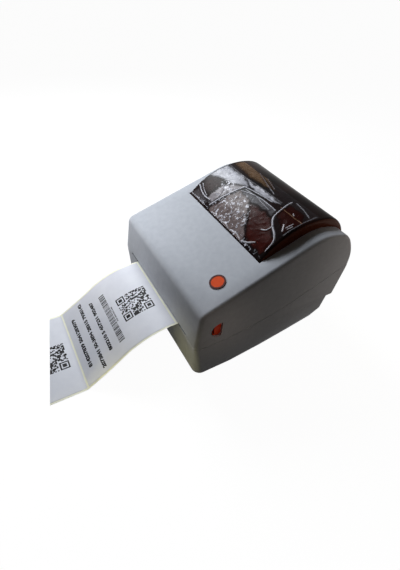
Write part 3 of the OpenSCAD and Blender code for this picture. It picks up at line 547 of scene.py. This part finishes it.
def code_boxes(start):
    """Dark cells of the square code, which starts at s."""
    chance = random.Random(7)
    cell = CODE_SIZE / CODE_CELLS
    dark = {}
    for i in range(CODE_CELLS):
        for j in range(CODE_CELLS):
            mark = is_finder(i, j)
            dark[i, j] = chance.random() < 0.5 if mark is None else mark
    return [(CODE_LEFT + i * cell - INK_SPREAD, CODE_LEFT + (i + 1) * cell + INK_SPREAD,
             start + j * cell - INK_SPREAD, start + (j + 1) * cell + INK_SPREAD)
            for (i, j), black in dark.items() if black]


def bar_boxes(start):
    """Bars of random widths, side by side across the label."""
    chance = random.Random(11)
    x = BAR_LEFT
    boxes = []
    while x < BAR_RIGHT:
        width = chance.choice(BAR_WIDTHS)
        boxes.append((x, x + width, start, start + BAR_L))
        x += width + chance.choice(BAR_GAPS)
    return boxes


def ink_box(x0, x1, s0, s1):
    """Points and faces of one printed patch, clipped by the strip's cut end."""
    far0 = min(s1, cut_s(x0) - INK_MARGIN)
    far1 = min(s1, cut_s(x1) - INK_MARGIN)
    if far0 <= s0 or far1 <= s0:
        return [], []
    rows = max(1, math.ceil((s1 - s0) / INK_STEP))
    points = []
    for i in range(rows + 1):
        t = i / rows
        points.append(on_strip(x0, s0 + (far0 - s0) * t, INK_LIFT))
        points.append(on_strip(x1, s0 + (far1 - s0) * t, INK_LIFT))
    return points, [(2 * i, 2 * i + 1, 2 * i + 3, 2 * i + 2) for i in range(rows)]


def digit_row(text, start, size, left, right):
    """A row of digits that fills the space from left to right, read towards the left of the printer."""
    curve = bpy.data.curves.new("digits", "FONT")
    curve.body = text
    curve.size = size * DIGIT_SCALE
    curve.offset = size * DIGIT_BOLD
    letters = bpy.data.objects.new("digits", curve)
    scene.collection.objects.link(letters)
    bpy.context.view_layer.update()
    shape = letters.evaluated_get(bpy.context.evaluated_depsgraph_get()).to_mesh()
    width = max(v.co.x for v in shape.vertices)
    points = [on_strip(right - v.co.x * (right - left) / width, start + v.co.y, INK_LIFT)
              for v in shape.vertices]
    faces = [tuple(reversed(p.vertices)) for p in shape.polygons]
    bpy.data.objects.remove(letters)
    bpy.data.curves.remove(curve)
    return points, faces


def make_print():
    """The print on the label that hangs from the slot and on the next one, as one piece."""
    boxes = code_boxes(SLOT_S + CODE_NEAR) + code_boxes(GAP_S + GAP + NEXT_CODE_NEAR)
    boxes += bar_boxes(SLOT_S + BAR_NEAR)
    parts = [ink_box(*box) for box in boxes]
    parts += [digit_row(text, SLOT_S + near, size, left, right)
              for text, near, size, left, right in DIGIT_ROWS]
    mesh_piece("label_print", *join(parts), INK, "base", "label_paper")


# Window film, placed by x in millimetres and by degrees of arc from its front edge
ARC_C = Vector((141.375, 59.0121))
ARC_R = 85.8
FILM_START = 139.479
FILM_SWEEP = 52
FILM_HALF = 68
FILM_LIFT = 0.15
FILM_COLUMNS = 260
FILM_ROWS = 160
WAVER = 2.2
DEGREE = ARC_R * math.pi / 180
# Creases: points, width, height and whiteness, where the whiteness is a painted glint along each ridge
CREASES = [
    ([(-31.6, 3.5), (-25.7, 14.6), (-21.5, 24.9), (-18, 33)], 0.6, 0.35, 1.0),
    ([(34.3, 46.4), (38.6, 34.8), (42, 27), (50, 22), (60, 18.4), (66, 14), (67.4, 7)], 0.75, 1.0, 0.85),
    ([(44.8, 15.2), (49.7, 17.3), (50.5, 21.9)], 0.7, 0.7, 0.8),
    ([(62.5, 23.7), (56.9, 27.9)], 0.7, 0.6, 0.8),
    ([(61.8, 27.1), (62.9, 32.3)], 0.55, 0.6, 0.75),
    ([(64.2, 26.8), (65.1, 30.6)], 0.5, 0.5, 0.7),
    ([(50.2, 39.1), (53.6, 37.9)], 0.5, 0.5, 0.6),
    ([(38, 49), (51, 47.6), (63.9, 44.8)], 0.6, 0.6, 0.3),
    ([(-67, 38.5), (-50, 38), (-32, 38), (-12, 38.8), (6, 39.4), (30, 40)], 1.0, 1.0, 0.12),
    ([(-16, 27), (-6, 29.6), (12, 32.2), (35, 32)], 0.6, 0.5, 0.6),
    ([(-14, 30), (4, 31), (16, 30), (30, 29)], 0.5, 0.6, 0.45),
    ([(-20, 31), (-8, 33), (8, 34.6), (22, 36)], 0.6, 0.3, 0.6),
    ([(-66.9, 9.3), (-55, 6.4), (-45.9, 5.5), (-36.4, 6.2)], 0.6, 0.8, 0.8),
    ([(-64.3, 11.6), (-54, 8.4), (-45.2, 6.9)], 0.45, 0.6, 0.65),
    ([(-67.5, 0.6), (-54, 0.9), (-40, 0.6)], 0.5, 0.5, 0.5),
    ([(37, 0.6), (44, 2.8), (51, 6.3)], 0.8, 0.6, 0.6),
    ([(-22, 0.6), (-14, 1.5), (-8, 0.6)], 0.6, 0.4, 0.7),
    ([(-2, 0.7), (6, 1.7), (12, 0.7)], 0.6, 0.4, 0.7),
    ([(16, 0.6), (26, 1.9), (34, 0.8)], 0.7, 0.4, 0.75),
    ([(-34, 52), (-12, 47.2), (12, 42.4)], 0.5, 0.5, 0.3),
    ([(-40, 58), (-18, 52), (4, 47)], 0.6, 0.5, 0.25),
    ([(-40, 22), (-34, 18), (-30, 12)], 0.6, 0.5, 0.5),
    ([(-36, 24.5), (-29, 22), (-24, 24)], 0.6, 0.5, 0.55),
    ([(-2, 6), (1, 9), (-2, 12)], 0.7, 0.6, 0.6),
    ([(12, 9), (15, 12), (13, 16)], 0.6, 0.5, 0.55),
    ([(20, 12), (25, 11), (24, 8)], 0.7, 0.5, 0.7),
    ([(67.5, 22), (67.6, 32), (67.6, 41), (66.5, 50)], 0.7, 0.3, 0.14),
]
# Pale places, partly milky film and partly painted reflection of the surroundings: outline, strength,
# warmth and width of the soft rim
MILK_AND_PAINTED_REFLECTION = [
    ([(-70, 20), (-70, 38), (-50, 38), (-32, 38), (-15, 34), (-25, 30), (-33, 26), (-46, 25),
      (-60, 22)], 0.62, 0, 4),
    ([(-34, 38.2), (-12, 38.8), (6, 39.4), (32, 39.6), (22, 36), (7, 34.4), (-13, 33.8)], 0.6, 0, 2.2),
    ([(-41, 20), (-33, 26.5), (-18, 33), (-22, 24), (-26, 14), (-32, 5), (-44, 7),
      (-42, 13)], 0.5, 0.25, 2.5),
    ([(-66, 14), (-62, 23), (-48, 25), (-42, 19), (-46, 10), (-57, 9)], 0.03, 0.72, 3),
    ([(-29, 1), (-23, 15), (-17, 27), (2, 26), (14, 19), (27, 9.7), (37, 5), (37, -4),
      (-20, -4)], 0.38, 0.5, 2),
    ([(-17, 26), (-6, 30), (12, 33), (36, 32.4), (39, 27), (20, 26.6), (5, 24.4)], 0.11, 0, 2),
    ([(-68, 42), (-68, 56), (-44, 56), (-22, 51), (6, 45.6), (-7, 42), (-30, 41), (-49, 41.6)], 0.34, 1, 6),
    ([(-46, 52), (-34, 60), (-10, 52), (14, 45), (-8, 47)], 0.22, 1, 4),
    ([(6, 24), (20, 26), (40, 26), (51, 21), (66, 14), (67, 3), (42, 2.5), (24, 13)], 0.12, 0.72, 3),
    ([(34, 36.5), (68, 36.4), (68, 37.2), (34, 37.2)], 0.5, 1, 0.4),
    ([(40, 30), (36, 44), (60, 44), (68, 36), (66, 22)], 0.05, 0.72, 4),
    ([(-67, 0), (-66, 8), (-45, 5), (-36, 4), (-38, 0)], 0.10, 0.1, 3),
]
# Flecked places: middle and half size
FLECKS = [((-2, 9), (36, 24)), ((0, -2), (90, 9)), ((-34, 22), (16, 13))]


def to_line(p, a, b):
    """Distance from p to the stretch between a and b."""
    d = b - a
    t = max(0, min(1, (p - a).dot(d) / d.length_squared))
    return (p - a - d * t).length


def blob(x, degrees, middle, half):
    """One in the middle of an oval and nought at its rim."""
    far = math.hypot((x - middle[0]) / half[0], (degrees - middle[1]) / half[1])
    near = max(0, min(1, 1.6 * (1 - far)))
    return near * near * (3 - 2 * near)


def curved(line):
    """A smooth route through the points of a line."""
    ends = [line[0]] + line + [line[-1]]
    route = []
    for a, b, c, d in zip(ends, ends[1:], ends[2:], ends[3:]):
        for t in (0, 0.2, 0.4, 0.6, 0.8):
            bend = 2 * a - 5 * b + 4 * c - d + t * (3 * b - a - 3 * c + d)
            route.append(b + 0.5 * t * (c - a + t * bend))
    return route + [line[-1]]


def flat_route(line):
    """Points of a line on the film laid flat, in millimetres."""
    return [Vector((u, v * DEGREE)) for u, v in line]


def is_near(p, box, margin):
    """Whether p lies in a box widened by a margin."""
    low, high = box
    return low.x - margin < p.x < high.x + margin and low.y - margin < p.y < high.y + margin


def box_of(route):
    """The lowest and the highest corner round a route."""
    xs = [p.x for p in route]
    ys = [p.y for p in route]
    return Vector((min(xs), min(ys))), Vector((max(xs), max(ys)))


def inside(p, outline):
    """How deep p lies inside an outline; nought outside it."""
    odd = False
    near = math.inf
    for a, b in zip(outline, outline[1:] + outline[:1]):
        near = min(near, to_line(p, a, b))
        if (a.y > p.y) != (b.y > p.y) and p.x < a.x + (b.x - a.x) * (p.y - a.y) / (b.y - a.y):
            odd = not odd
    return near if odd else 0


CREASE_ROUTES = [(curved(flat_route(line)), box_of(flat_route(line)), width, height, painted_glint)
                 for line, width, height, painted_glint in CREASES]
MILK_AND_REFLECTION_PLACES = [(flat_route(line), box_of(flat_route(line)), strength, warm, rim)
               for line, strength, warm, rim in MILK_AND_PAINTED_REFLECTION]


def ripple(x, degrees, across, along, layer):
    """Smooth noise over the film, finer with larger shares of x and degrees."""
    return noise.noise(Vector((x * across, degrees * along, layer)))


def film_at(x, degrees):
    """Height of the film above the window, its milkiness with painted reflection and painted crease glints,
    how many flecks it has and how brown it is.
    """
    p = Vector((x, degrees * DEGREE))
    height = 0.5 * abs(ripple(x, degrees, 0.06, 0.09, 3))
    height += 0.35 * max(0, ripple(x, degrees, 0.22, 0.33, 9))
    waver = Vector((ripple(x, degrees, 0.15, 0.2, 5), ripple(x, degrees, 0.15, 0.2, 7)))
    milk_and_painted_reflection = 0
    warmth = 0
    # Pale places give the film its milkiness and its painted reflection
    for outline, box, strength, warm, rim in MILK_AND_REFLECTION_PLACES:
        moved = p + min(WAVER, rim) * waver
        if not is_near(moved, box, 0):
            continue
        share = strength * min(1, inside(moved, outline) / rim)
        if share > milk_and_painted_reflection:
            milk_and_painted_reflection = share
            warmth = warm
    milk_and_painted_reflection *= 0.95 + 0.22 * ripple(x, degrees, 0.12, 0.5, 2)
    for route, box, width, top, painted_glint in CREASE_ROUTES:
        if not is_near(p, box, 3 * width):
            continue
        gap = min(to_line(p, a, b) for a, b in zip(route, route[1:]))
        ridge = math.exp(-(gap / width) ** 2)
        height += top * ridge
        # Painted glint: the crease's whiteness stands for light caught along the ridge
        if painted_glint * ridge > milk_and_painted_reflection:
            milk_and_painted_reflection = painted_glint * ridge
            warmth *= 1 - ridge
    flecks = max(blob(x, degrees, middle, half) for middle, half in FLECKS)
    return height, milk_and_painted_reflection, flecks, warmth


def make_film():
    """The creased film, which holds its milkiness with painted reflection and painted glints, flecks and
    warmth at its points.
    """
    points = []
    looks = {"milk_and_painted_reflection": [], "flecks": [], "warmth": []}
    for i in range(FILM_ROWS + 1):
        degrees = FILM_SWEEP * i / FILM_ROWS
        angle = math.radians(FILM_START - degrees)
        for j in range(FILM_COLUMNS + 1):
            x = FILM_HALF * (2 * j / FILM_COLUMNS - 1)
            height, milk_and_painted_reflection, flecks, warmth = film_at(x, degrees)
            r = ARC_R + FILM_LIFT + height
            points.append(at(x, ARC_C.x + r * math.cos(angle), ARC_C.y + r * math.sin(angle)))
            looks["milk_and_painted_reflection"].append(milk_and_painted_reflection)
            looks["flecks"].append(flecks)
            looks["warmth"].append(warmth)
    faces = grid_faces(FILM_ROWS, FILM_COLUMNS)
    film = mesh_piece("window_film", points, faces, FILM, "lid", "film_clear")
    for name, values in looks.items():
        film.data.attributes.new(name, "FLOAT", "POINT").data.foreach_set("value", values)
    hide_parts("protective_film")


# Springs hidden in the lid
COIL_SIDES = 6
COIL_STEPS = 16
PRESS_X = 30
PRESS_Y = 16
PRESS_Z = 54
PRESS_L = 16
PRESS_R = 3.4
PRESS_WIRE = 0.5
PRESS_TURNS = 8
RETURN_X = 66
RETURN_Y = 30
RETURN_Z = 78
RETURN_L = 6.8
RETURN_R = 2.9
RETURN_WIRE = 0.4
RETURN_TURNS = 6


def coil(start, axis, radius, wire, length, turns):
    """Points and faces of a helical spring along an axis."""
    steps = turns * COIL_STEPS
    side = axis.orthogonal().normalized()
    other = axis.cross(side)
    points = []
    for i in range(steps + 1):
        a = 2 * math.pi * i * turns / steps
        out = math.cos(a) * side + math.sin(a) * other
        middle = start + (axis * length * i / steps + out * radius) * MM
        for k in range(COIL_SIDES):
            b = 2 * math.pi * k / COIL_SIDES
            points.append(middle + wire * MM * (math.cos(b) * out + math.sin(b) * axis))
    return points, tube_faces(steps, COIL_SIDES)


def make_springs():
    """Coils that press the head down and coils that turn the latch back."""
    upward = Vector((0, 0, 1))
    across = Vector((1, 0, 0))
    presses = [coil(at(x, PRESS_Y, PRESS_Z), upward, PRESS_R, PRESS_WIRE, PRESS_L, PRESS_TURNS)
               for x in (-PRESS_X, PRESS_X)]
    head = mesh_piece("head_coils", *join(presses), STEEL, "lid", "steel")
    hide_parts("head_springs")
    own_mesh(head)
    returns = [coil(at(x, RETURN_Y, RETURN_Z), across, RETURN_R, RETURN_WIRE, RETURN_L, RETURN_TURNS)
               for x in (RETURN_X, -RETURN_X - RETURN_L)]
    latch = mesh_piece("latch_coils", *join(returns), STEEL, "lid", "steel")
    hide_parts("latch_springs")


# Floor, light and world, with the floor's sizes in metres
FLOOR_Z = -0.0001
FLOOR_R = 2.0
SWEEP_R = 0.6
SWEEP_STEPS = 6
WALL_TOP = 3.0
FLOOR_SIDES = 48


def stage_material():
    """A pale floor that reads as white to the eye, keeps the shadow and throws little light back."""
    material, tree, shader = new_material("floor_white")
    path = node(tree, "ShaderNodeLightPath").outputs
    mirror = maths(tree, "MULTIPLY", path["Is Glossy Ray"], 0.5)
    seen = maths(tree, "MAXIMUM", path["Is Camera Ray"], mirror)
    seen = maths(tree, "MAXIMUM", seen, path["Is Transmission Ray"])
    glow = node(tree, "ShaderNodeEmission", {"Color": (1, 1, 1, 1), "Strength": 0.97})
    cover = ramp(tree, grain(tree, 3.0), (0.3, linear(70, 70, 70)), (0.7, linear(74, 74, 74)))
    matt = node(tree, "ShaderNodeBsdfDiffuse", {"Color": cover})
    both = node(tree, "ShaderNodeAddShader", {0: glow.outputs["Emission"], 1: matt.outputs["BSDF"]})
    mix = node(tree, "ShaderNodeMixShader", {"Fac": seen, 1: matt.outputs["BSDF"],
                                             2: both.outputs["Shader"]})
    tree.links.new(mix.outputs["Shader"], tree.nodes["Material Output"].inputs["Surface"])
    tree.nodes.remove(shader)
    return material


def make_stage():
    """Floor that sweeps up into a backdrop all round."""
    profile = [(0.0, FLOOR_Z), (FLOOR_R, FLOOR_Z)]
    for k in range(1, SWEEP_STEPS + 1):
        a = math.radians(90 * k / SWEEP_STEPS)
        profile.append((FLOOR_R + SWEEP_R * math.sin(a), FLOOR_Z + SWEEP_R - SWEEP_R * math.cos(a)))
    profile.append((FLOOR_R + SWEEP_R, WALL_TOP))
    turns = [2 * math.pi * k / FLOOR_SIDES for k in range(FLOOR_SIDES)]
    points = [(r * math.cos(turn), r * math.sin(turn), z) for r, z in profile for turn in turns]
    faces = tube_faces(len(profile) - 1, FLOOR_SIDES)
    mesh = bpy.data.meshes.new("floor")
    mesh.from_pydata(points, [], faces)
    mesh.materials.append(stage_material())
    mesh.shade_smooth()
    floor = bpy.data.objects.new("floor", mesh)
    scene.collection.objects.link(floor)


def lamp(name, place_mm, aim_mm, size, power, colour, spread=180):
    """An area lamp, its size in metres, aimed at a point, with its spread in degrees."""
    data = bpy.data.lights.new(name, "AREA")
    data.shape = "RECTANGLE"
    data.size = size[0]
    data.size_y = size[1]
    data.energy = power
    data.color = colour
    data.spread = math.radians(spread)
    light = bpy.data.objects.new(name, data)
    start = at(*place_mm)
    turn = (at(*aim_mm) - start).to_track_quat("-Z", "Y")
    light.matrix_world = Matrix.Translation(start) @ turn.to_matrix().to_4x4()
    scene.collection.objects.link(light)


def make_light():
    """A weak warm sky, a main lamp and four small ones."""
    world = bpy.data.worlds.new("world")
    world.use_nodes = True
    sky = world.node_tree.nodes["Background"]
    sky.inputs["Color"].default_value = (1.0, 0.87, 0.70, 1)
    sky.inputs["Strength"].default_value = 0.072
    scene.world = world
    lamp("key", (-580, 60, 580), (0, 80, 90), (0.40, 0.40), 6.8, (0.95, 0.98, 1.0))
    lamp("front", (-250, -190, 140), (-72, 2, 72), (0.12, 0.12), 0.074, (1.0, 0.98, 0.96), 64)
    lamp("rear", (200, 330, 120), (80, 130, 50), (0.20, 0.20), 0.145, (1.0, 0.86, 0.72))
    lamp("latch", (300, -60, 190), (88, 28, 62), (0.06, 0.06), 0.0009, (1.0, 0.80, 0.62), 16)
    lamp("chin", (75, -130, 14), (72, 4, 18), (0.06, 0.03), 0.004, (1.0, 0.88, 0.45), 50)


make_camera()
dress_nodes()
make_strip()
make_print()
make_film()
make_springs()
make_stage()
make_light()
